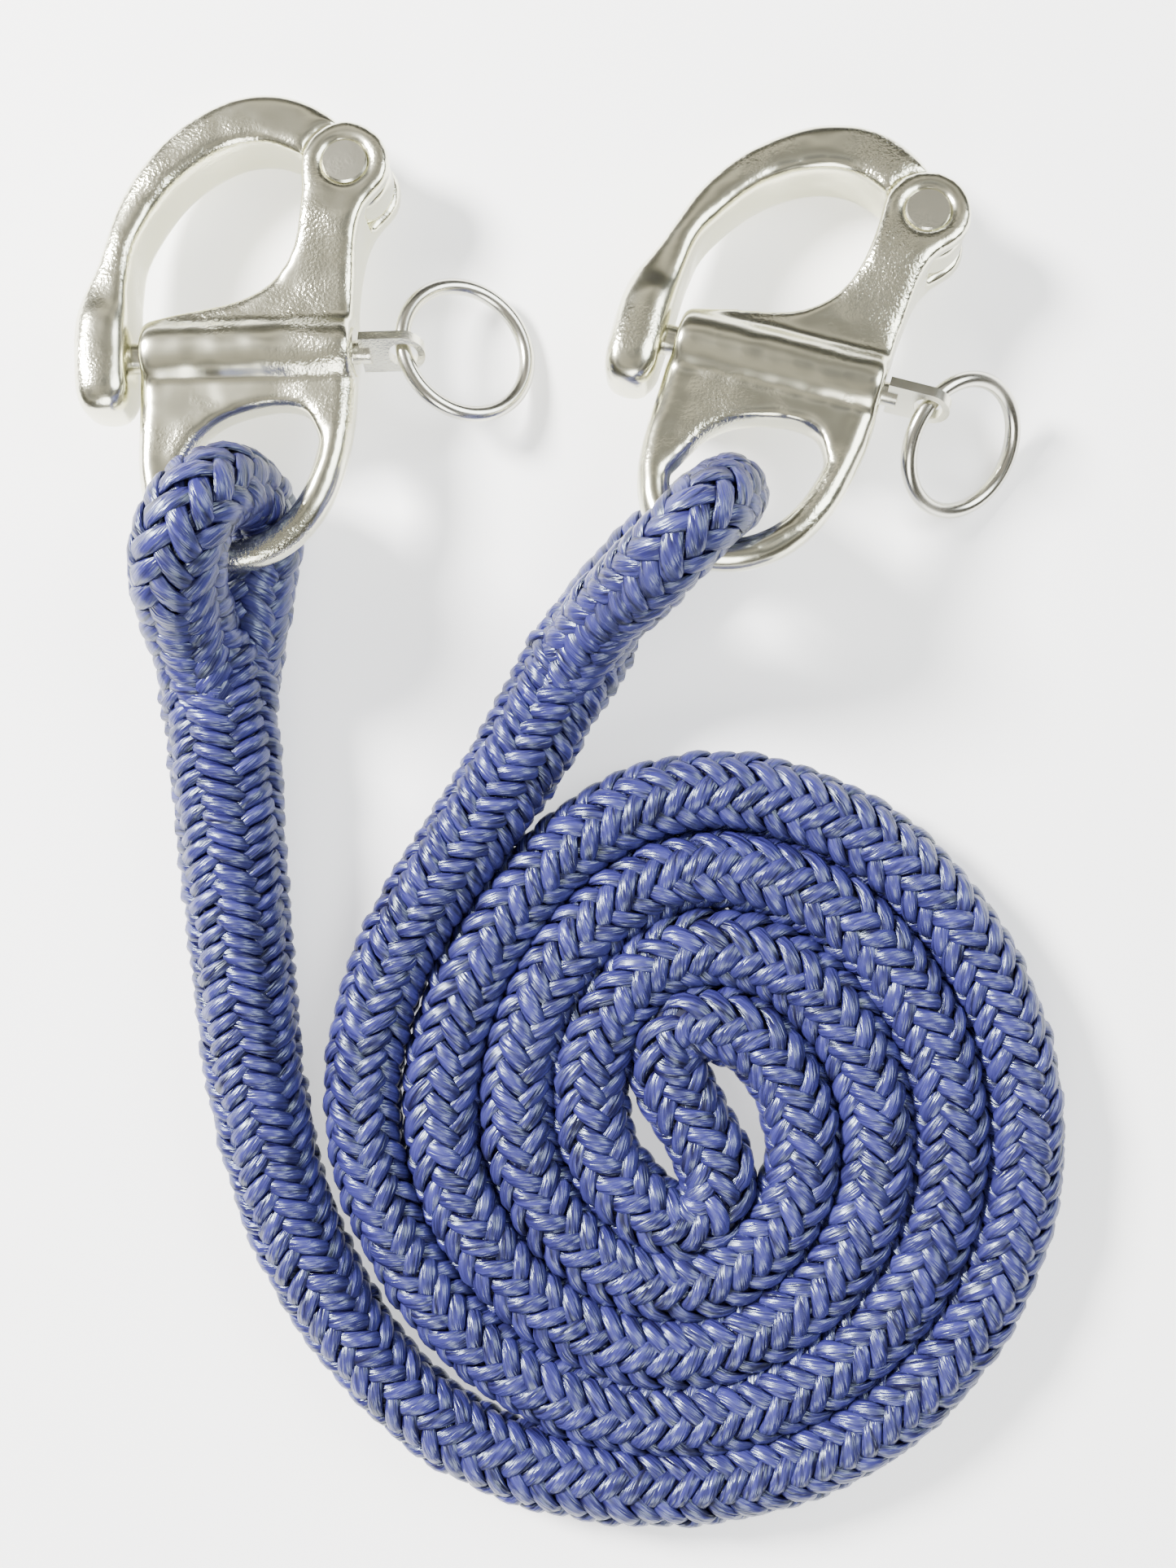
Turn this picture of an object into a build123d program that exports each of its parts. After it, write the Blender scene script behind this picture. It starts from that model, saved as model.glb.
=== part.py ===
from build123d import *
import math
import os

# A barrier rope: thick braided cord with a spliced eye at each end, laid down in a flat double
# spiral, and a fixed-bail snap shackle in each eye. Millimetres, +Z up, the floor at z = 0.

# ---------------------------------------------------------------- driving dimensions
ROPE_D = 16.0                # the cord where nothing is buried in it
EYE_D = 14.8                 # the cord drawn tight where it bends round the bail
SPLICE_D = 22.0              # the cord where its own tail is buried in it
TAPER_D = 17.0               # the cord where the buried tail runs out

BARREL_R = 7.0
BARREL_LEFT = -20.1
BARREL_RIGHT = 21.3
EAR_R = 8.6
FORK_HALF = 8.2              # half the fork's thickness
SLOT_HALF = 4.1              # half the slot between the ears
KNUCKLE_HALF = 3.8
KNUCKLE_R = 8.0
SLOT_R = 9.4                 # round bottom of the slot, about the hinge pin
HINGE = (20.5, 36.0)
HINGE_PIN_R = 4.5
RUNNING_FIT = 0.05           # radial clearance of anything that turns or slides

GATE_HALF = 6.4              # half the gate's depth
BOSS_FACE = -22.5            # the boss's inner face, across a small gap from the barrel

WEB_HALF = 3.4
BAIL_WIDE = 3.15             # half widths of the bail's oval section
BAIL_DEEP = 3.7

NOSE_R = 3.0
NOSE_CONE = 2.1              # a blunt cone that the opening gate slides off
COLLAR_R = 4.3
COLLAR_X = -10.5             # the collar's rear face, where the spring starts
COLLAR_LONG = 2.5
STEM_R = 2.3
CHAMBER_R = 4.6
CHAMBER_LEFT = -14.5
BUSH_LONG = 4.0
TAB_WIDE = 8.6
TAB_THICK = 2.2
TAB_START = 22.3
HOLE_X = 30.6                # the pull ring's hole in the tab
HOLE_R = 2.9
SPRING_WIRE_R = 0.4
SPRING_R = 3.4
SPRING_COILS = 11

RING_R = 13.3                # to the middle of the wire
RING_WIRE_R = 1.6


ORIGIN = (-26.4, 92.2)       # where the origin is, in the plan that the places below are given in


def at(x, y, z=0.0):
    """A point of the plan, moved to the part's origin."""
    return Vector(x - ORIGIN[0], y - ORIGIN[1], z)


# ---------------------------------------------------------------- the two shackles' places
# Each lies with its bow on the floor and its bail lifted by the cord under it. A ring's heading is
# that of the diameter that stays level, its slope is how steeply it falls to the left of that, and
# ring_hole is how far round it the tab's hole is.
SHACKLES = {
    "left": {
        "place": (-87.4, 88.0), "height": 14.9, "turn": 1.7, "tilt": 8.0, "roll": 0.0, "tab_turn": 66.0,
        "ring_heading": -73.2, "ring_slope": 30.0, "ring_hole": -96.0,
    },
    "right": {
        "place": (16.7, 85.2), "height": 17.2, "turn": -15.2, "tilt": 12.0, "roll": 4.5, "tab_turn": 80.0,
        "ring_heading": -128.4, "ring_slope": 42.0, "ring_hole": -90.0,
    },
}


def shackle_location(side):
    spec = SHACKLES[side]
    x, y = spec["place"]
    flat = Location(at(x, y, spec["height"])) * Location((0, 0, 0), (0, 0, spec["turn"]))
    return flat * Location((0, 0, 0), (0, -spec["roll"], 0)) * Location((0, 0, 0), (-spec["tilt"], 0, 0))


# ---------------------------------------------------------------- shackle pieces, in the shackle's own frame
def along_x(radius, start, end):
    """A round bar on the barrel's axis."""
    return Pos((start + end) / 2, 0, 0) * Rot(0, 90, 0) * Cylinder(radius, end - start)


def hinge_bar(radius, half):
    return Pos(HINGE[0], HINGE[1], 0) * Cylinder(radius, 2 * half)


def plate(face, half):
    return extrude(Pos(0, 0, -half) * face, amount=2 * half)


def long_rims(solid, longer_than):
    """The long edges round a plate's front and back faces."""
    return solid.edges().filter_by(Plane.XY).filter_by(lambda edge: edge.length > longer_than)


def fork_outline():
    """The arm from the barrel up to the round ears."""
    hx, hy = HINGE
    left = Spline(
        (-18.5, 5.8), (-11.5, 7.6), (-4.5, 8.9), (1.8, 10.9), (6.2, 14.1), (9.4, 18.2), (11.2, 23.5), (11.9, 29.0), (hx - EAR_R, hy),
    )
    top = ThreePointArc((hx - EAR_R, hy), (hx, hy + EAR_R), (hx + EAR_R, hy))
    right = Spline(
        (hx + EAR_R, hy), (27.8, 31.6), (24.9, 28.4), (23.0, 24.6), (22.0, 19.0), (21.5, 12.0), (21.3, 5.0),
        tangents=[(0, -1), (0, -1)],
    )
    foot = Polyline((21.3, 5.0), (21.3, 0.0), (-18.5, 0.0), (-18.5, 5.8))
    return make_face([left, top, right, foot])


def fork_thickness():
    """The arm seen from the side: dished above the barrel, flat at the ears."""
    upper = Spline((-1.0, 4.6), (7.5, 4.6), (13.0, 4.9), (19.5, 6.6), (26.0, FORK_HALF), (32.0, FORK_HALF))
    side = make_face([
        upper,
        Polyline((32.0, FORK_HALF), (50.0, FORK_HALF), (50.0, -FORK_HALF), (32.0, -FORK_HALF)),
        mirror(upper, about=Plane.XZ),
        Line((-1.0, -4.6), (-1.0, 4.6)),
    ])
    # the profile's own x is the shackle's y, and its own y is the shackle's z
    upright = Plane(origin=(0, 0, 0), x_dir=(0, 1, 0), z_dir=(1, 0, 0))
    return extrude(upright * side, amount=60, both=True)


def web_outline():
    """The dished web between the barrel and the bail's opening."""
    mouth = Spline(
        (-16.5, -29.0), (-13.4, -25.0), (-9.8, -18.3), (-5.2, -14.2), (1.0, -11.9), (7.5, -11.2), (12.0, -12.8),
        (14.6, -17.5), (16.8, -19.0),
    )
    rest = Polyline(
        (16.8, -19.0), (19.6, -6.0), (19.6, -1.0), (-19.0, -1.0), (-19.0, -6.0), (-16.5, -29.0),
    )
    return make_face([mouth, rest])


def bail():
    line = Spline(
        (-18.0, -4.0), (-17.9, -15.0), (-17.5, -26.0), (-14.6, -34.6), (-8.8, -39.8), (-2.0, -40.9),
        (5.0, -38.8), (10.8, -34.0), (14.8, -27.2), (17.2, -19.0), (18.3, -11.0), (18.4, -4.0),
    )
    start = Plane(origin=line @ 0, x_dir=(0, 0, 1), z_dir=line % 0)
    return sweep(start * Ellipse(BAIL_DEEP, BAIL_WIDE), path=line)


def shackle_body():
    barrel = fillet(along_x(BARREL_R, BARREL_LEFT, BARREL_RIGHT).edges().filter_by(GeomType.CIRCLE), 1.2)
    fork = plate(fork_outline(), FORK_HALF) & fork_thickness()
    body = barrel + fork + plate(web_outline(), WEB_HALF) + bail()
    slot = hinge_bar(SLOT_R, SLOT_HALF) + Pos(HINGE[0], HINGE[1] + 10, 0) * Box(60, 20, 2 * SLOT_HALF)
    body -= slot
    body -= hinge_bar(HINGE_PIN_R, 20)
    body -= along_x(NOSE_R + RUNNING_FIT, BARREL_LEFT - 5, CHAMBER_LEFT + 1)
    body -= along_x(CHAMBER_R, CHAMBER_LEFT, BARREL_RIGHT + 5)
    return body


# the gate's bow from the boss to the hinge: a point on its middle line, and its width there
BOW = [
    ((-24.6, 20.0), 5.7), ((-21.6, 28.2), 6.6), ((-16.8, 35.8), 7.4), ((-10.7, 41.7), 8.3), ((-3.4, 45.8), 9.4),
    ((4.2, 47.0), 10.2), ((11.2, 45.0), 10.4), ((17.0, 40.4), 9.6),
]
GATE_EDGE = 1.6


def gate_outline():
    """The boss and the bow in one line, the bow's two sides set out from its middle line."""
    line = Spline(*[point for point, width in BOW])
    outer, inner = [], []
    for point, width in BOW:
        along = line % line.param_at_point(point)
        across = Vector(-along.Y, along.X) * (width / 2)
        outer.append(Vector(*point) + across)
        inner.append(Vector(*point) - across)
    outside = Spline(
        (BOSS_FACE, -8.0), (-24.9, -10.3), (-27.9, -10.8), (-30.5, -8.8), (-32.1, -4.5), (-32.7, 1.0), (-32.3, 6.5),
        (-30.9, 11.4), (-29.0, 15.6), *outer,
    )
    inside = Spline(*inner[::-1], (BOSS_FACE + 0.3, 16.0), (BOSS_FACE, 12.6))
    return make_face([outside, Line(outer[-1], inner[-1]), inside, Line((BOSS_FACE, 12.6), (BOSS_FACE, -8.0))])


def gate():
    lever = plate(gate_outline(), GATE_HALF)
    lever = fillet(long_rims(lever, 15), GATE_EDGE)
    for face in (1, -1):
        beside_ear = (KNUCKLE_HALF + FORK_HALF + 4) / 2
        lever -= Pos(0, 0, face * beside_ear) * hinge_bar(EAR_R + 0.6, beside_ear - KNUCKLE_HALF)
    lever += hinge_bar(KNUCKLE_R, KNUCKLE_HALF)
    lever -= hinge_bar(HINGE_PIN_R + RUNNING_FIT, 20)
    seat = Pos(BOSS_FACE - NOSE_CONE / 2 + 0.1, 0, 0) * Rot(0, 90, 0) * Cone(0.35, NOSE_R + 0.45, NOSE_CONE + 0.2)
    return lever - seat


def hinge_pin():
    pin = hinge_bar(HINGE_PIN_R, FORK_HALF)
    return chamfer(pin.edges().filter_by(GeomType.CIRCLE), 0.35)


def plunger_pin(tab_turn):
    """The sprung pin: a blunt nose, a collar, a thin stem and a flat tab with the ring's hole."""
    cone = Pos(BOSS_FACE + 0.25 - NOSE_CONE / 2, 0, 0) * Rot(0, 90, 0) * Cone(0.3, NOSE_R, NOSE_CONE)
    nose = along_x(NOSE_R, BOSS_FACE + 0.25, COLLAR_X - COLLAR_LONG)
    collar = along_x(COLLAR_R, COLLAR_X - COLLAR_LONG, COLLAR_X)
    stem = along_x(STEM_R, COLLAR_X, TAB_START + 2)
    tab_end = HOLE_X + TAB_WIDE / 2
    flat = Pos((TAB_START + HOLE_X) / 2, 0, 0) * Box(HOLE_X - TAB_START, TAB_WIDE, TAB_THICK)
    flat += Pos(HOLE_X, 0, 0) * Cylinder(TAB_WIDE / 2, TAB_THICK)
    flat -= Pos(HOLE_X, 0, 0) * Cylinder(HOLE_R, 2 * TAB_THICK)
    flat = Rot(tab_turn, 0, 0) * flat
    return cone + nose + collar + stem + flat


def plunger_bush():
    return along_x(CHAMBER_R, BARREL_RIGHT - BUSH_LONG, BARREL_RIGHT) - along_x(
        STEM_R + RUNNING_FIT, BARREL_RIGHT - BUSH_LONG - 1, BARREL_RIGHT + 1
    )


def plunger_spring():
    start, end = COLLAR_X + SPRING_WIRE_R + 0.05, BARREL_RIGHT - BUSH_LONG - SPRING_WIRE_R - 0.05
    helix = Helix(pitch=(end - start) / SPRING_COILS, height=end - start, radius=SPRING_R)
    wire = sweep(Plane(origin=helix @ 0, z_dir=helix % 0) * Circle(SPRING_WIRE_R), path=helix)
    return Pos(start, 0, 0) * Rot(0, 90, 0) * wire


def pull_ring(side):
    """A closed ring through the tab's hole, leaning on the floor."""
    spec = SHACKLES[side]
    heading, slope, round_to = (math.radians(spec[key]) for key in ("ring_heading", "ring_slope", "ring_hole"))
    level = Vector(math.cos(heading), math.sin(heading), 0)
    fall = Vector(-math.sin(heading) * math.cos(slope), math.cos(heading) * math.cos(slope), -math.sin(slope))
    to_hole = level * math.cos(round_to) + fall * math.sin(round_to)
    hole = (shackle_location(side) * Location((HOLE_X, 0, 0))).position
    plane = Plane(origin=hole - to_hole * RING_R, x_dir=to_hole, z_dir=level.cross(fall))
    return plane * Torus(RING_R, RING_WIRE_R)


# ---------------------------------------------------------------- the cord
# Routes are (x, y, z) in the plan, from each throat outwards. An eye's route goes up from the throat,
# over the bail, down through it, and back under it.
EYES = {
    "left": [
        (-99.3, 37.5, 22.6), (-98.4, 43.6, 32.2), (-94.5, 53.5, 36.2), (-89.0, 61.5, 30.5), (-86.0, 61.6, 17.0),
        (-86.0, 53.5, 8.2), (-88.4, 43.0, 8.0), (-87.6, 34.8, 8.0),
    ],
    "right": [
        (-16.3, 37.0, 22.0), (-9.7, 41.4, 31.0), (-2.6, 47.7, 38.5), (3.3, 54.0, 38.0), (7.5, 58.6, 28.0),
        (7.2, 58.6, 14.0), (-1.1, 53.4, 8.4), (-10.4, 46.6, 8.0), (-19.0, 40.6, 8.0),
    ],
}
SPLICES = {
    "left": [(-94.9, 32.5, 11.0), (-92.3, 3.0, 11.0), (-90.3, -28.0, 11.0)],
    "right": [(-20.2, 34.2, 11.0), (-28.4, 19.4, 11.0), (-37.1, 5.3, 11.0)],
}
LEADS = {
    "left": [
        (-90.3, -28.0, 8.5), (-88.36, -58.0, 8.5), (-79.5, -89.0, 8.5), (-62.5, -116.5, 8.5), (-38.0, -133.3, 8.5),
        (-18.9, -137.4, 8.5),
    ],
    "right": [(-37.1, 5.3, 8.5), (-46.0, -9.12, 8.5), (-55.8, -21.6, 8.5)],
}

# The coil is a double spiral: two strands wind in side by side, and meet in an S at the middle. These
# are the radius of the outermost strand, and from one strand to the next one in, every 30 degrees
# anticlockwise from +X.
COIL_CENTRE = (0.0, -66.7)
COIL_STEP = 30
COIL_OUTER = [67.0, 67.2, 69.2, 69.7, 75.2, 67.2, 65.5, 61.2, 72.2, 70.0, 68.9, 67.5]
COIL_PITCH = [14.9, 15.0, 15.3, 15.8, 14.8, 14.5, 15.4, 14.5, 13.8, 13.2, 14.1, 14.4]
COIL_ROUNDING = 3.5
PRESSED_HALF = 6.2           # half a strand's width where a lead lies hard against it


def tube(name, route, diameter):
    """A plain tube of straight runs and tangent arcs along a route, with its bends printed."""
    points = [at(*point) for point in route]
    runs = [(b - a).length for a, b in zip(points, points[1:])]
    radii = []
    for a, b, c, before, after in zip(points, points[1:], points[2:], runs, runs[1:]):
        turn = math.radians((b - a).get_angle(c - b))
        radii.append(0.45 * min(before, after) / math.tan(turn / 2))
    line = FilletPolyline(*points, radius=radii)
    solid = sweep(Plane(origin=line @ 0, z_dir=line % 0) * Circle(diameter / 2), path=line)
    share = solid.volume / (math.pi * diameter**2 / 4 * line.length)
    print(name, "length", round(line.length, 1), "bends", [round(r, 1) for r in radii], "volume share", round(share, 4))
    return solid


def coil_radius(angle, strands_in):
    """The radius of a strand's middle line, that many strands in from the outermost one."""
    index = int(angle // COIL_STEP)
    share = angle / COIL_STEP - index
    here, following = index % len(COIL_OUTER), (index + 1) % len(COIL_OUTER)
    radius = COIL_OUTER[here] - strands_in * COIL_PITCH[here]
    return radius + share * (COIL_OUTER[following] - strands_in * COIL_PITCH[following] - radius)


def coil_point(angle, radius):
    turned = math.radians(angle)
    return at(COIL_CENTRE[0] + radius * math.cos(turned), COIL_CENTRE[1] + radius * math.sin(turned))


def coil_edge(angle, strands_in=0, half_width=ROPE_D / 2):
    return coil_point(angle, coil_radius(angle, strands_in) + half_width)


def step_corners(side):
    """The outer and inner corners of the coil's step, square across the end of a lead."""
    before, end = (at(x, y) for x, y, _ in LEADS[side][-2:])
    along = (end - before).normalized()
    outward = Vector(along.Y, -along.X) * (ROPE_D / 2)
    return end + outward, end - outward


def rope_coil():
    """One closed solid of the coil's outer shape, with a step where each lead runs into it."""
    left_outer, left_inner = step_corners("left")
    right_outer, right_inner = step_corners("right")
    first = [left_outer, *(coil_edge(angle) for angle in range(270, 451, COIL_STEP)), coil_edge(480, 1, PRESSED_HALF)]
    second = [right_outer, *(coil_edge(angle) for angle in (165, 180, 210)), coil_edge(240, 1, PRESSED_HALF)]
    outline = make_face([
        Spline(*first, right_inner), Line(right_inner, right_outer), Spline(*second, left_inner),
        Line(left_inner, left_outer),
    ])
    solid = extrude(outline, amount=ROPE_D)
    return fillet(solid.edges().filter_by(Plane.XY).filter_by(lambda edge: edge.length > 40), COIL_ROUNDING)


# ---------------------------------------------------------------- write
os.makedirs("parts", exist_ok=True)


def write(name, solid):
    solid.label = name
    export_step(solid, f"parts/{name}.step")
    print(name, round(solid.volume, 1))


for side in SHACKLES:
    place = shackle_location(side)
    write(f"{side}_shackle_body", place * shackle_body())
    write(f"{side}_gate", place * gate())
    write(f"{side}_hinge_pin", place * hinge_pin())
    write(f"{side}_plunger_pin", place * plunger_pin(SHACKLES[side]["tab_turn"]))
    write(f"{side}_plunger_bush", place * plunger_bush())
    write(f"{side}_plunger_spring", place * plunger_spring())
    write(f"{side}_pull_ring", pull_ring(side))
    write(f"rope_eye_{side}", tube("eye", EYES[side], EYE_D))
    write(f"rope_splice_{side}", tube("splice", SPLICES[side], SPLICE_D))
    write(f"rope_lead_{side}", tube("lead", LEADS[side], TAPER_D))
write("rope_coil", rope_coil())
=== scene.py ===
import math

import bmesh
import bpy
import numpy as np
from mathutils import Matrix, Vector


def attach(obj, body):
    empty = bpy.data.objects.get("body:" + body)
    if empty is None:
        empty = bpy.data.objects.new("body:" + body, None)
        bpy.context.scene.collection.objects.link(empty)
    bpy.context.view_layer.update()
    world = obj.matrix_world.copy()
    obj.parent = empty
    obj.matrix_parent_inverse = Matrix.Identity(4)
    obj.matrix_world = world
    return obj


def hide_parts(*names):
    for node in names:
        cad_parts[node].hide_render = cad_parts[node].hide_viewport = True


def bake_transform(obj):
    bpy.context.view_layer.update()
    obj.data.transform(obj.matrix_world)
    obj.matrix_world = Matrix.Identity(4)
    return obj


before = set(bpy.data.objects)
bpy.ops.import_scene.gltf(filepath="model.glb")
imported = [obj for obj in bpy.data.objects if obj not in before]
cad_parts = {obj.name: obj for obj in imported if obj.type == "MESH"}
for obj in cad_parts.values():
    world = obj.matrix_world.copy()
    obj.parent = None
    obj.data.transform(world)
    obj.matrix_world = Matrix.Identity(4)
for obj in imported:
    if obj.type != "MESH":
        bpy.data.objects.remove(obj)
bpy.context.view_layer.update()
SIDES = ("left", "right")

# The cord's routes and the shackles' places are in the plan of part.py, in millimetres. ORIGIN is the point
# of that plan that is the origin of the part's frame.
ORIGIN = (-26.4, 92.2)


def plan(x, y, z):
    """A place in the plan, in millimetres, as a place in the part's frame, in metres."""
    return ((x - ORIGIN[0]) / 1000, (y - ORIGIN[1]) / 1000, z / 1000)


# ---------------------------------------------------------------- node helpers
def new_material(name):
    material = bpy.data.materials.new(name)
    material.use_nodes = True
    nodes, links = material.node_tree.nodes, material.node_tree.links
    return material, nodes, links, nodes["Principled BSDF"]


def noise_texture(nodes, links, scale, detail=2.0, vector=None):
    texture = nodes.new("ShaderNodeTexNoise")
    texture.inputs["Scale"].default_value = scale
    texture.inputs["Detail"].default_value = detail
    if vector is not None:
        links.new(vector, texture.inputs["Vector"])
    return texture.outputs["Fac"]


def colour_ramp(nodes, links, factor, stops):
    """A colour by factor, through stops of (position, colour)."""
    node = nodes.new("ShaderNodeValToRGB")
    elements = node.color_ramp.elements
    while len(elements) < len(stops):
        elements.new(0.5)
    for element, (position, colour) in zip(elements, stops):
        element.position = position
        element.color = (*colour, 1)
    links.new(factor, node.inputs["Fac"])
    return node.outputs["Color"]


def bump_map(nodes, links, height, strength, distance, normal=None):
    node = nodes.new("ShaderNodeBump")
    node.inputs["Strength"].default_value = strength
    node.inputs["Distance"].default_value = distance
    links.new(height, node.inputs["Height"])
    if normal is not None:
        links.new(normal, node.inputs["Normal"])
    return node.outputs["Normal"]


# ---------------------------------------------------------------- camera, lamps and room
CAMERA_HEIGHT = 344.0            # millimetres above the floor; it looks straight down
CAMERA_TANGENT = 0.469756        # tangent of half its upright angle of view
CAMERA_SHIFT = (-0.0661994, 0.0114226)

LAMP_TARGET = Vector((0, -0.1, 0))
LAMPS = {                        # place and size in metres, power in watts, and colour
    "key": ((-0.85, 0.40, 0.75), 0.35, 82.0, (1.0, 0.98, 0.96)),
    "fill": ((0.7, 0.2, 0.7), 0.7, 12.0, (0.93, 0.97, 1.0)),
    "back": ((0.0, -0.9, 0.6), 0.6, 8.0, (1.0, 1.0, 1.0)),
}

# How bright the room is by the sine of elevation: dark walls low down, and a bright ceiling with a darker
# ring in it. Large patches make it uneven.
ROOM = [(0.0, 0.25), (0.25, 0.06), (0.50, 0.08), (0.64, 0.75), (0.78, 0.22), (0.90, 0.50), (1.0, 0.36)]
ROOM_TINT = (1.0, 0.985, 0.96)
ROOM_STRENGTH = 0.95
PATCH_SCALE = 2.2
PATCH_STOPS = [(0.38, (0.35, 0.37, 0.42)), (0.62, (1.45, 1.38, 1.22))]
# The Mix node has its sockets once for each kind of value; these are the ones for colours.
MIX_COLOUR_A, MIX_COLOUR_B, MIX_COLOUR_OUT = 6, 7, 2


def add_camera():
    data = bpy.data.cameras.new("camera")
    data.sensor_fit = "VERTICAL"
    data.angle = 2 * math.atan(CAMERA_TANGENT)
    data.shift_x, data.shift_y = CAMERA_SHIFT
    camera = bpy.data.objects.new("camera", data)
    camera.location = plan(0, 0, CAMERA_HEIGHT)
    bpy.context.collection.objects.link(camera)
    bpy.context.scene.camera = camera


def add_lamp(name, place, size, power, colour):
    data = bpy.data.lights.new(name, "AREA")
    data.shape = "DISK"
    data.size = size
    data.energy = power
    data.color = colour
    lamp = bpy.data.objects.new(name, data)
    lamp.location = place
    lamp.rotation_euler = (LAMP_TARGET - Vector(place)).to_track_quat("-Z", "Y").to_euler()
    bpy.context.collection.objects.link(lamp)


def add_room():
    world = bpy.data.worlds.new("world")
    world.use_nodes = True
    nodes, links = world.node_tree.nodes, world.node_tree.links
    direction = nodes.new("ShaderNodeTexCoord").outputs["Generated"]
    split = nodes.new("ShaderNodeSeparateXYZ")
    links.new(direction, split.inputs[0])
    levels = [(sine, tuple(level * tint for tint in ROOM_TINT)) for sine, level in ROOM]
    room = colour_ramp(nodes, links, split.outputs["Z"], levels)
    patches = noise_texture(nodes, links, PATCH_SCALE, vector=direction)
    uneven = colour_ramp(nodes, links, patches, PATCH_STOPS)
    product = nodes.new("ShaderNodeMix")
    product.data_type = "RGBA"
    product.blend_type = "MULTIPLY"
    product.inputs["Factor"].default_value = 1.0
    links.new(room, product.inputs[MIX_COLOUR_A])
    links.new(uneven, product.inputs[MIX_COLOUR_B])
    links.new(product.outputs[MIX_COLOUR_OUT], nodes["Background"].inputs["Color"])
    nodes["Background"].inputs["Strength"].default_value = ROOM_STRENGTH
    bpy.context.scene.world = world


add_camera()
for lamp_name, lamp in LAMPS.items():
    add_lamp(lamp_name, *lamp)
add_room()

# ---------------------------------------------------------------- the cord's routes
CORD_HALF = 8.0                  # half the cord's thickness, in millimetres
# The coil's two strands by angle, every COIL_STEP degrees anticlockwise from +X: the radius of the
# outermost strand, and the distance from each strand to the next one in.
COIL_CENTRE = (0.0, -66.7)
COIL_STEP = 30
COIL_OUTER = [67.0, 67.2, 69.2, 69.7, 75.2, 67.2, 65.5, 61.2, 72.2, 70.0, 68.9, 67.5]
COIL_PITCH = [14.9, 15.0, 15.3, 15.8, 14.8, 14.5, 15.4, 14.5, 13.8, 13.2, 14.1, 14.4]
# Control points stand outside the curve that they pull.
CONTROL_OUT = 1 / math.cos(math.radians(COIL_STEP / 2))


def strand(first, last, strands_in):
    """Control points of a strand from one angle to another, so many strands in from the outermost."""
    points = []
    for angle in range(first, last + 1, COIL_STEP):
        index = (angle // COIL_STEP) % len(COIL_OUTER)
        radius = (COIL_OUTER[index] - strands_in * COIL_PITCH[index]) * CONTROL_OUT
        turned = math.radians(angle)
        x, y = COIL_CENTRE[0] + radius * math.cos(turned), COIL_CENTRE[1] + radius * math.sin(turned)
        points.append((x, y, CORD_HALF))
    return points


LEFT_LEAD = [
    (-95.8, 38.0, 11.5), (-94.3, 22.0, 11.3), (-92.2, -1.0, 11.0), (-90.2, -28.0, 10.2),
    (-87.6, -58.0, 9.4), (-79.5, -88.5, 8.8), (-62.5, -116.0, 8.4), (-38.0, -133.6, 8.0),
]
RIGHT_LEAD = [
    (-15.0, 41.0, 11.0), (-22.5, 29.8, 10.8), (-29.0, 18.2, 10.4), (-37.3, 4.2, 9.9), (-46.5, -9.4, 9.3),
    (-55.8, -22.8, 8.8), (-64.0, -40.0, 8.3),
]
LEFT_COIL = strand(270, 450, 0) + strand(480, 570, 1) + strand(600, 810, 2) + strand(840, 930, 3)
RIGHT_COIL = strand(180, 210, 0) + strand(240, 450, 1) + strand(480, 570, 2) + strand(600, 810, 3)
MIDDLE = [                       # the S that joins the two strands, from the right strand to the left one
    (-4.2, -46.2, 8.0), (-5.2, -52.4, 8.0), (-3.2, -58.0, 8.0), (-0.7, -62.3, 8.0), (1.8, -66.6, 8.0),
    (4.2, -71.0, 8.0), (5.6, -76.0, 8.0), (4.4, -82.0, 8.0), (0.2, -85.4, 8.0), (-5.8, -84.4, 8.0),
]
ROPE_ROUTE = LEFT_LEAD + LEFT_COIL + MIDDLE[::-1] + RIGHT_COIL[::-1] + RIGHT_LEAD[::-1]
EYE_ROUTES = {
    "left": [
        (-94.2, 18.0, 11.5), (-96.0, 26.0, 13.5), (-97.6, 36.5, 21.5), (-96.8, 43.6, 32.2),
        (-93.4, 53.0, 36.2), (-89.2, 60.2, 30.5), (-86.2, 60.4, 17.0), (-86.0, 53.5, 8.2),
        (-88.4, 42.0, 8.0), (-90.4, 31.0, 8.4), (-92.6, 18.0, 10.0),
    ],
    "right": [
        (-28.0, 20.5, 11.0), (-22.6, 28.5, 13.5), (-16.0, 37.0, 22.0), (-9.7, 41.4, 31.0),
        (-2.6, 47.7, 38.5), (3.3, 54.0, 38.0), (7.5, 58.6, 28.0), (6.2, 60.2, 14.0),
        (-3.0, 55.0, 8.4), (-11.4, 47.2, 8.0), (-19.4, 38.0, 8.2), (-26.5, 24.0, 9.5),
    ],
}


def route_points(name, route, spacing):
    """Evenly spaced points on the smooth curve that the route controls, and how far along each one is."""
    curve = bpy.data.curves.new(name, "CURVE")
    curve.dimensions = "3D"
    curve.resolution_u = 12
    spline = curve.splines.new("NURBS")
    spline.points.add(len(route) - 1)
    for point, place in zip(spline.points, route):
        point.co = (*plan(*place), 1)
    spline.order_u = 3
    spline.use_endpoint_u = True
    holder = bpy.data.objects.new(name, curve)
    mesh = bpy.data.meshes.new_from_object(holder)
    dense = np.array([vertex.co for vertex in mesh.vertices], float)
    bpy.data.meshes.remove(mesh)
    bpy.data.objects.remove(holder)
    bpy.data.curves.remove(curve)
    along = travelled(dense)
    even = np.linspace(0, along[-1], max(2, round(along[-1] / spacing)))
    return np.stack([np.interp(even, along, dense[:, axis]) for axis in range(3)], axis=1), even


def travelled(points):
    """The distance along points at each of them."""
    return np.concatenate([[0], np.cumsum(np.linalg.norm(np.diff(points, axis=0), axis=1))])


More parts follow.
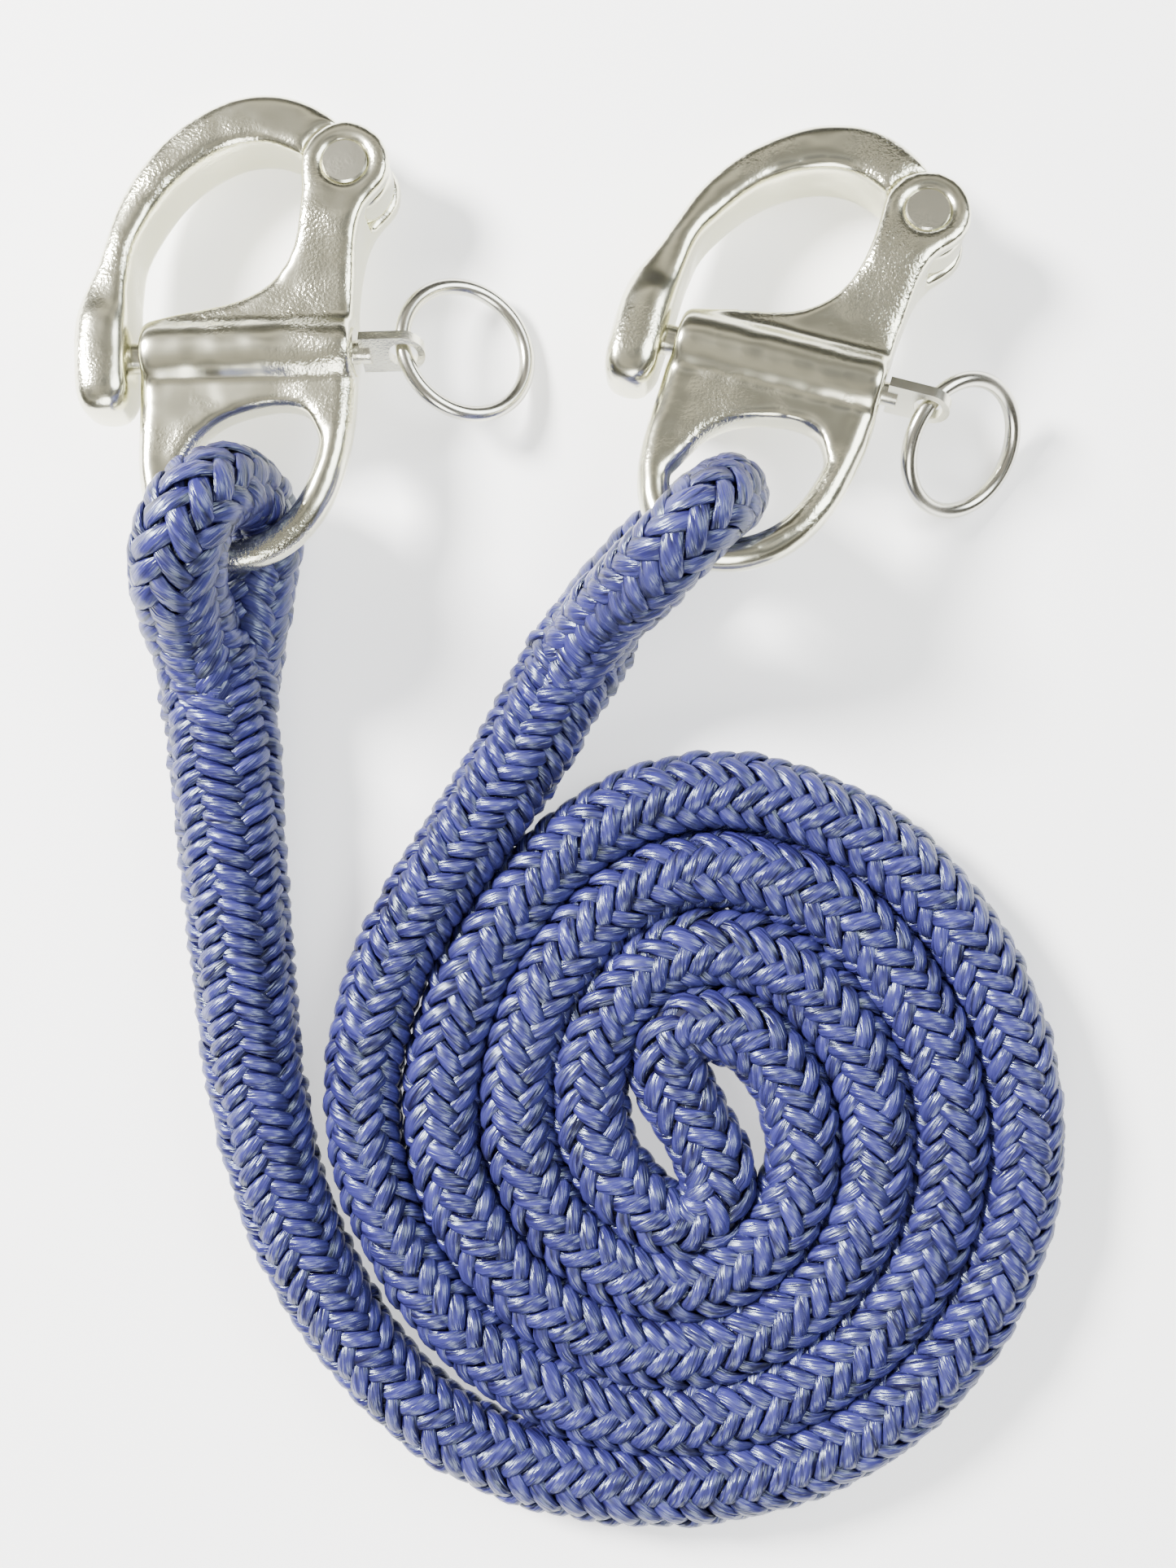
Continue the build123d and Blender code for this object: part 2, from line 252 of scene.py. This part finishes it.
# ---------------------------------------------------------------- braid
CARRIERS = 8                     # bundles of yarn each way round
COLUMNS = 4                      # columns where one way of the braid is on top
RING = 1.1e-3                    # metres from one ring of vertices to the next
PROFILE = np.radians(np.linspace(-118, 118, 9))      # round a bundle's back, which is all that shows
CORE_SIDES = 16
# By the cord's radius: half a bundle's thickness, how far it dives, and the size of the core, which is
# painted dark as the shade between bundles.
BUNDLE_THICK = 0.128
BUNDLE_DIVE = 0.115
CORE_SIZE = 0.76
CROSSING = 0.18                  # more makes a bundle's way from over to under more gradual
# A bundle's width by its share of the way round, and how much more that is on top and less below.
BUNDLE_WIDE, WIDER_ON_TOP = 0.98, 0.10
SHALLOW_SPREAD = 0.6             # how much wider bundles get where the relief is shallower
# What makes the yarns uneven: how much, rings from one random value to the next, and a factor of the seed.
DRIFT = (0.5, 90, 1)             # all the columns together, round the cord
WANDER = (0.05, 9, 31)           # one bundle round the cord
FULLNESS = (0.10, 11, 53)        # its thickness
BREADTH = (0.13, 8, 91)          # its width
WOBBLE = (0.042, 10, 77)         # its distance from the middle
TINT_SEEDS = 1000                # seeds from one cord's yarn tints to the next one's


def unit(vectors):
    return vectors / np.linalg.norm(vectors, axis=-1, keepdims=True)


def frames(points):
    """Side and up at every point, carried along without twist."""
    tangents = unit(np.gradient(points, axis=0))
    up = np.empty_like(points)
    up[0] = (0, 0, 1)
    for i in range(len(points)):
        last = up[i - 1] if i else up[0]
        up[i] = last - tangents[i] * np.dot(last, tangents[i])
        up[i] /= np.linalg.norm(up[i])
    return np.cross(tangents, up), up


def smooth_noise(length, count, seed):
    """A slow random curve between -1 and 1."""
    values = np.random.default_rng(seed).uniform(-1, 1, count + 3)
    return np.interp(np.linspace(0, count, length), np.arange(count + 3) - 1, values)


def grid_faces(grid, closed=False):
    """Four-sided faces between a grid's rows of vertex numbers, joined up round the rows if closed."""
    here, following = (grid, np.roll(grid, -1, axis=1)) if closed else (grid[:, :-1], grid[:, 1:])
    return np.stack([here[:-1], following[:-1], following[1:], here[1:]], -1).reshape(-1, 4)


def cord_mesh(name, places, yarn_faces, core_faces, values):
    """A mesh of yarns in its first material and a core in its second, with values on its vertices."""
    every = np.concatenate([yarn_faces, core_faces])
    mesh = bpy.data.meshes.new(name)
    mesh.vertices.add(len(places))
    mesh.vertices.foreach_set("co", places.ravel())
    mesh.loops.add(every.size)
    mesh.loops.foreach_set("vertex_index", every.ravel())
    mesh.polygons.add(len(every))
    mesh.polygons.foreach_set("loop_start", np.arange(0, every.size, 4))
    mesh.polygons.foreach_set("material_index", np.repeat([0, 1], [len(yarn_faces), len(core_faces)]))
    mesh.update(calc_edges=True)
    mesh.shade_smooth()
    for key, value in values.items():
        attribute = mesh.attributes.new(key, "FLOAT", "POINT")
        attribute.data.foreach_set("value", value.astype(np.float32))
    corners = every.ravel()
    # The UV map gives the highlights their direction along the yarn: run in centimetres, and across.
    uv = np.stack([values["run"][corners] * 100, values["across"][corners]], axis=1)
    mesh.uv_layers.new(name="lie").data.foreach_set("uv", uv.astype(np.float32).ravel())
    mesh.materials.append(YARN)
    mesh.materials.append(CORE)
    return mesh


def braid(name, points, along, half_wide, half_high, pitch, seed, relief=1.0):
    """A braided cord along points: bundles of yarn, over and under, on a core in painted shade."""
    side, up = frames(points)
    count = len(points)

    def uneven(kind, bundle=0):
        amount, rings, factor = kind
        return amount * smooth_noise(count, max(3, count // rings), seed * factor + bundle)

    mean_pitch = (pitch[1:] + pitch[:-1]) / 2
    turned = np.concatenate([[0], np.cumsum(2 * math.pi / mean_pitch * np.diff(along))])
    drift = uneven(DRIFT)
    mean = (half_wide + half_high) / 2
    swing = relief * BUNDLE_DIVE * mean
    body = mean - relief * (BUNDLE_THICK + BUNDLE_DIVE) * mean
    slope = np.arctan(2 * math.pi * body / pitch)
    share = 0.5 * 2 * math.pi * body / CARRIERS * np.cos(slope)

    places, yarn_faces, total = [], [], 0
    values = {"yarn": [], "run": [], "across": [], "lift": []}

    def add(ring, yarn, run, across, lift):
        """Adds rings of vertices with their values, and gives their numbers as a grid."""
        nonlocal total
        shape = ring.shape[:2]
        places.append(ring.reshape(-1, 3))
        for key, value in (("yarn", yarn), ("run", run), ("across", across), ("lift", lift)):
            values[key].append(np.broadcast_to(value, shape).ravel())
        grid = total + np.arange(shape[0] * shape[1]).reshape(shape)
        total += grid.size
        return grid

    for way in (1, -1):
        for index in range(CARRIERS):
            bundle = index * 2 + (way > 0)
            tint = np.random.default_rng(seed * TINT_SEEDS + bundle).uniform()
            phase = 2 * math.pi * (index + 0.5) / CARRIERS + way * turned + drift
            phase = phase + uneven(WANDER, bundle)
            column = np.cos(COLUMNS * (phase - drift) - math.pi / 4)
            lift = way * column / np.sqrt(column**2 + CROSSING)
            thick = relief * BUNDLE_THICK * mean * (1 + uneven(FULLNESS, index))
            wide = share * (BUNDLE_WIDE + WIDER_ON_TOP * lift) / relief**SHALLOW_SPREAD
            wide = wide * (1 + uneven(BREADTH, bundle))
            radial = (body + swing * lift) / mean + uneven(WOBBLE, bundle)
            centre = (
                points + side * (half_wide * radial * np.cos(phase))[:, None]
                + up * (half_high * radial * np.sin(phase))[:, None]
            )
            outward = unit(
                side * (np.cos(phase) / half_wide)[:, None] + up * (np.sin(phase) / half_high)[:, None]
            )
            run = unit(np.gradient(centre, axis=0))
            outward = unit(outward - run * np.sum(outward * run, axis=1, keepdims=True))
            cross = np.cross(run, outward)
            ring = (
                centre[:, None] + outward[:, None] * (thick[:, None] * np.cos(PROFILE))[..., None]
                + cross[:, None] * (wide[:, None] * np.sin(PROFILE))[..., None]
            )
            grid = add(ring, tint, travelled(centre)[:, None], PROFILE / PROFILE[-1], lift[:, None])
            yarn_faces.append(grid_faces(grid))

    spin = np.linspace(0, 2 * math.pi, CORE_SIDES, endpoint=False)
    core = (
        points[:, None] + side[:, None] * ((half_wide * CORE_SIZE)[:, None] * np.cos(spin))[..., None]
        + up[:, None] * ((half_high * CORE_SIZE)[:, None] * np.sin(spin))[..., None]
    )
    core_faces = grid_faces(add(core, 0.0, 0.0, 0.0, -1.0), closed=True)
    values = {key: np.concatenate(value) for key, value in values.items()}
    mesh = cord_mesh(name, np.concatenate(places), np.concatenate(yarn_faces), core_faces, values)
    cord = bpy.data.objects.new(name, mesh)
    bpy.context.collection.objects.link(cord)
    return cord


# ---------------------------------------------------------------- the cord's materials
# Fine fibres and coarser strands: noise cells per metre along the yarn, cells across half of it, detail.
FIBRE = (170.0, 5.5, 2.0)
STRAND = (90.0, 2.2, 1.0)
FIBRE_SHARE, STRAND_SHARE = 0.55, 0.45
FIBRE_SLANT = 90.0               # fibres lie across the yarn: this much of the cells across, per metre
YARN_SPREAD = 100.0              # keeps each bundle's noise apart from the others'
# Painted shade: how much the tone lightens where a bundle rides over and darkens where it dives under, how
# much it darkens towards a bundle's edges, and how sharply that edge shade comes in.
LIFT_SHADE, EDGE_SHADE, EDGE_SHADE_POWER = 0.07, 0.22, 3.0
YARN_STOPS = [(0.40, (0.0036, 0.0019, 0.019)), (0.62, (0.027, 0.026, 0.135))]
YARN_VALUE, YARN_VALUE_SPREAD = 0.85, 0.3
YARN_BUMP = 0.0006
# Painted shade: the core is coloured near black to stand for the shade in the gaps between bundles.
CORE_SHADE_STOPS = [(0.0, (0.003, 0.003, 0.015)), (1.0, (0.006, 0.007, 0.03))]
CORE_CELLS = 900.0


def yarn_material():
    material, nodes, links, shader = new_material("cord_yarn")

    def attribute(name):
        node = nodes.new("ShaderNodeAttribute")
        node.attribute_name = name
        return node.outputs["Fac"]

    def maths(kind, first, second):
        node = nodes.new("ShaderNodeMath")
        node.operation = kind
        for socket, value in zip(node.inputs, (first, second)):
            if isinstance(value, (int, float)):
                socket.default_value = value
            else:
                links.new(value, socket)
        return node.outputs[0]

    run, across, yarn, lift = (attribute(key) for key in ("run", "across", "yarn", "lift"))

    def drawn_out(along, over, detail):
        """Noise drawn out along the yarn."""
        place = nodes.new("ShaderNodeCombineXYZ")
        links.new(maths("MULTIPLY", run, along), place.inputs[0])
        slant = maths("ADD", maths("MULTIPLY", across, over), maths("MULTIPLY", run, over * FIBRE_SLANT))
        links.new(slant, place.inputs[1])
        links.new(maths("MULTIPLY", yarn, YARN_SPREAD), place.inputs[2])
        return noise_texture(nodes, links, 1.0, detail, place.outputs[0])

    both = maths(
        "ADD", maths("MULTIPLY", drawn_out(*FIBRE), FIBRE_SHARE),
        maths("MULTIPLY", drawn_out(*STRAND), STRAND_SHARE),
    )
    # Painted shade: the colour darkens towards each bundle's edges and where it dives under, and lightens
    # where it rides over. The bump takes only the fibres and strands.
    edge_shade = maths("POWER", maths("ABSOLUTE", across, 0.0), EDGE_SHADE_POWER)
    lift_shaded = maths("ADD", both, maths("MULTIPLY", lift, LIFT_SHADE))
    height = maths("SUBTRACT", lift_shaded, maths("MULTIPLY", edge_shade, EDGE_SHADE))
    tone = colour_ramp(nodes, links, height, YARN_STOPS)
    shade = nodes.new("ShaderNodeHueSaturation")
    links.new(tone, shade.inputs["Color"])
    value = maths("ADD", maths("MULTIPLY", yarn, YARN_VALUE_SPREAD), YARN_VALUE)
    links.new(value, shade.inputs["Value"])
    links.new(shade.outputs["Color"], shader.inputs["Base Color"])
    links.new(bump_map(nodes, links, both, 1.0, YARN_BUMP), shader.inputs["Normal"])
    tangent = nodes.new("ShaderNodeTangent")
    tangent.direction_type = "UV_MAP"
    tangent.uv_map = "lie"
    links.new(tangent.outputs[0], shader.inputs["Tangent"])
    shader.inputs["Anisotropic"].default_value = 0.7
    shader.inputs["Roughness"].default_value = 0.28
    shader.inputs["Specular IOR Level"].default_value = 0.8
    shader.inputs["Specular Tint"].default_value = (0.72, 0.86, 1.0, 1)
    return material


def core_material():
    material, nodes, links, shader = new_material("cord_core_shade")
    tone = colour_ramp(nodes, links, noise_texture(nodes, links, CORE_CELLS), CORE_SHADE_STOPS)
    links.new(tone, shader.inputs["Base Color"])
    shader.inputs["Roughness"].default_value = 0.9
    return material


YARN = yarn_material()
CORE = core_material()

# ---------------------------------------------------------------- the metal's materials
# Noise cells per metre and detail: a cloudy tone, fine pits, and the slow waves that polishing leaves.
CLOUD = (55.0, 4.0)
PITS = (1700.0, 2.0)
WAVES = (95.0, 1.0)
CLOUD_DARK = 0.86                # the cloud's darker tone, by the metal's colour
CLOUD_RANGE = (0.3, 0.7)
PITTED_RANGE = (0.45, 0.62)      # of the cloud, over which the pits come in
PIT_DEPTH, WAVE_DEPTH = 0.0002, 0.004


def steel_material(name, colour, roughness, pitting, waviness):
    """Polished stainless: faint cloudy tone, fine pits that polishing didn't reach, and slow waves."""
    material, nodes, links, shader = new_material(name)
    where = nodes.new("ShaderNodeTexCoord").outputs["Object"]
    cloud = noise_texture(nodes, links, *CLOUD, where)
    tones = (tuple(channel * CLOUD_DARK for channel in colour), colour)
    tone = colour_ramp(nodes, links, cloud, list(zip(CLOUD_RANGE, tones)))
    links.new(tone, shader.inputs["Base Color"])
    pits = noise_texture(nodes, links, *PITS, where)
    waves = noise_texture(nodes, links, *WAVES, where)
    patch = nodes.new("ShaderNodeMapRange")
    patch.inputs["From Min"].default_value, patch.inputs["From Max"].default_value = PITTED_RANGE
    links.new(cloud, patch.inputs["Value"])
    pitted = nodes.new("ShaderNodeMath")
    pitted.operation = "MULTIPLY"
    links.new(pits, pitted.inputs[0])
    links.new(patch.outputs["Result"], pitted.inputs[1])
    rolling = bump_map(nodes, links, waves, waviness, WAVE_DEPTH)
    rough = bump_map(nodes, links, pitted.outputs[0], pitting, PIT_DEPTH, rolling)
    links.new(rough, shader.inputs["Normal"])
    shader.inputs["Metallic"].default_value = 1.0
    shader.inputs["Roughness"].default_value = roughness
    return material


CAST = steel_material("cast", (0.84, 0.83, 0.65), 0.21, 0.8, 0.22)
TURNED = steel_material("turned", (0.80, 0.79, 0.66), 0.25, 0.4, 0.10)
WIRE = steel_material("wire", (0.70, 0.69, 0.60), 0.22, 0.10, 0.0)

# ---------------------------------------------------------------- floor
FLOOR_SIZE = 6.0
FLOOR_WHITE = (0.9, 0.9, 0.9, 1)
FLOOR_GLOW = 0.9

bpy.ops.mesh.primitive_plane_add(size=FLOOR_SIZE, location=(0, 0, 0))
floor = bpy.context.object
floor.name = "floor"
floor_material, _, _, floor_shader = new_material("floor")
floor_shader.inputs["Base Color"].default_value = FLOOR_WHITE
floor_shader.inputs["Roughness"].default_value = 0.9
floor_shader.inputs["Emission Color"].default_value = (1.0, 1.0, 1.0, 1)
floor_shader.inputs["Emission Strength"].default_value = FLOOR_GLOW
floor.data.materials.append(floor_material)

# ---------------------------------------------------------------- the cord
# Tables of (millimetres from an end, value in millimetres). Each splice swells the cord's end, which then
# tapers to a point inside the eye's throat.
HALF_FROM_LEFT = [
    (0, 3.0), (2, 8.0), (7, 11.0), (14, 12.0), (24, 11.6), (54, 10.8), (104, 9.9), (134, 9.1), (164, 7.9),
    (230, 7.7),
]
HALF_FROM_RIGHT = [
    (0, 3.0), (2, 7.0), (6, 9.6), (12, 10.7), (20, 10.4), (35, 9.9), (60, 9.5), (78, 8.9), (102, 8.4),
    (120, 8.0), (135, 7.8), (190, 7.5),
]
# The coil's strands are pressed together, and so a little wider than they are high.
PRESSED_FROM_LEFT = [(150, 0), (200, 0.7), (1240, 0.7), (1290, 0)]
PITCH_FROM_LEFT = [(0, 26), (90, 28), (150, 36), (200, 39)]
PITCH_FROM_RIGHT = [(0, 26), (60, 29), (110, 36), (150, 39)]
ROPE_SEED = 3

EYE_STATIONS = [0.0, 0.25, 0.5, 0.7, 1.0]       # along each eye, as shares of its length
EYE_HALVES = {"left": [9.4, 9.4, 8.3, 8.3, 9.0], "right": [8.4, 8.2, 8.0, 8.2, 8.8]}
EYE_PITCH = 0.034
EYE_RELIEF = 0.78
EYE_SEEDS = {"left": 15, "right": 16}


def from_table(distance, table):
    return np.interp(distance, *zip(*table))


rope_points, rope_along = route_points("rope_route", ROPE_ROUTE, RING)
total = rope_along[-1]
from_left = rope_along * 1000
from_right = (total - rope_along) * 1000
half = np.where(
    from_right < HALF_FROM_RIGHT[-1][0], from_table(from_right, HALF_FROM_RIGHT),
    from_table(from_left, HALF_FROM_LEFT),
)
wide = (half + from_table(from_left, PRESSED_FROM_LEFT)) / 1000
high = np.minimum(half, np.maximum(CORD_HALF, rope_points[:, 2] * 1000)) / 1000
pitch = np.minimum(from_table(from_left, PITCH_FROM_LEFT), from_table(from_right, PITCH_FROM_RIGHT)) / 1000
rope = braid("rope", rope_points, rope_along, wide, high, pitch, ROPE_SEED)
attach(rope, "cord")
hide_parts("rope_coil", "rope_lead_left", "rope_lead_right", "rope_splice_left", "rope_splice_right")

for side_name in SIDES:
    points, along = route_points(f"eye_route_{side_name}", EYE_ROUTES[side_name], RING)
    size = np.interp(along / along[-1], EYE_STATIONS, EYE_HALVES[side_name]) / 1000
    eye_pitch = np.full(len(points), EYE_PITCH)
    eye = braid(f"eye_{side_name}", points, along, size, size, eye_pitch, EYE_SEEDS[side_name], EYE_RELIEF)
    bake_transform(eye)
    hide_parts(f"rope_eye_{side_name}")

# ---------------------------------------------------------------- the shackles
FINISH = {
    "shackle_body": CAST, "gate": CAST, "hinge_pin": TURNED, "plunger_pin": TURNED, "plunger_bush": TURNED,
    "plunger_spring": TURNED, "pull_ring": WIRE,
}
CASTINGS = ("shackle_body", "gate")
VOXEL = 0.4e-3
SMOOTHING_ROUNDS = 100
SWELL = 0.18e-3                  # puts back what the smoothing takes off

# As in part.py: place in the plan, height, and turn, tilt and roll in degrees.
SHACKLES = {"left": (-87.4, 88.0, 14.9, 1.7, 8.0, 0.0), "right": (16.7, 85.2, 17.2, -15.2, 12.0, 4.5)}
# The drum at the end of the gate, in the shackle's own frame, in millimetres; 1 would make it an ellipsoid.
DRUM_MIDDLE = (-27.6, -0.3, 0.0)
DRUM_HALF = (5.2, 12.4, 7.5)
DRUM_SQUARENESS = 0.55


def gate_drum(side_name):
    """The rounded drum at the end of the gate, in the part's frame."""
    x, y, height, turn, tilt, roll = SHACKLES[side_name]
    place = (
        Matrix.Translation(plan(x, y, height)) @ Matrix.Rotation(math.radians(turn), 4, "Z")
        @ Matrix.Rotation(math.radians(-roll), 4, "Y") @ Matrix.Rotation(math.radians(-tilt), 4, "X")
    )
    drum = bmesh.new()
    bmesh.ops.create_uvsphere(drum, u_segments=48, v_segments=32, radius=1.0)
    for vertex in drum.verts:
        local = [
            (middle + half_size * math.copysign(abs(value) ** DRUM_SQUARENESS, value)) / 1000
            for middle, half_size, value in zip(DRUM_MIDDLE, DRUM_HALF, vertex.co)
        ]
        vertex.co = place @ Vector(local)
    return drum


def soft_casting(node, name, added=None):
    """A copy of a part with its corners run together, the way a casting comes out of its mould."""
    mesh = node.data.copy()
    mesh.transform(node.matrix_world)
    if added:
        added.from_mesh(mesh)
        added.to_mesh(mesh)
        added.free()
    cast = bpy.data.objects.new(name, mesh)
    bpy.context.collection.objects.link(cast)
    remesh = cast.modifiers.new("even", "REMESH")
    remesh.mode = "VOXEL"
    remesh.voxel_size = VOXEL
    smooth = cast.modifiers.new("soften", "SMOOTH")
    smooth.factor = 0.5
    smooth.iterations = SMOOTHING_ROUNDS
    swell = cast.modifiers.new("swell", "DISPLACE")
    swell.strength = SWELL
    swell.mid_level = 0.0
    depsgraph = bpy.context.evaluated_depsgraph_get()
    baked = bpy.data.meshes.new_from_object(cast.evaluated_get(depsgraph))
    cast.modifiers.clear()
    cast.data = baked
    baked.shade_smooth()
    return cast


for side_name in SIDES:
    for part, finish in FINISH.items():
        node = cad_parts[f"{side_name}_{part}"]
        shown = node
        if part in CASTINGS:
            drum = gate_drum(side_name) if part == "gate" else None
            casting = soft_casting(node, f"{side_name}_{part}_casting", drum)
            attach(casting, f"{side_name}_shackle" if part == "shackle_body" else f"{side_name}_gate")
            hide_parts(node.name)
            shown = casting
        shown.data.materials.clear()
        shown.data.materials.append(finish)
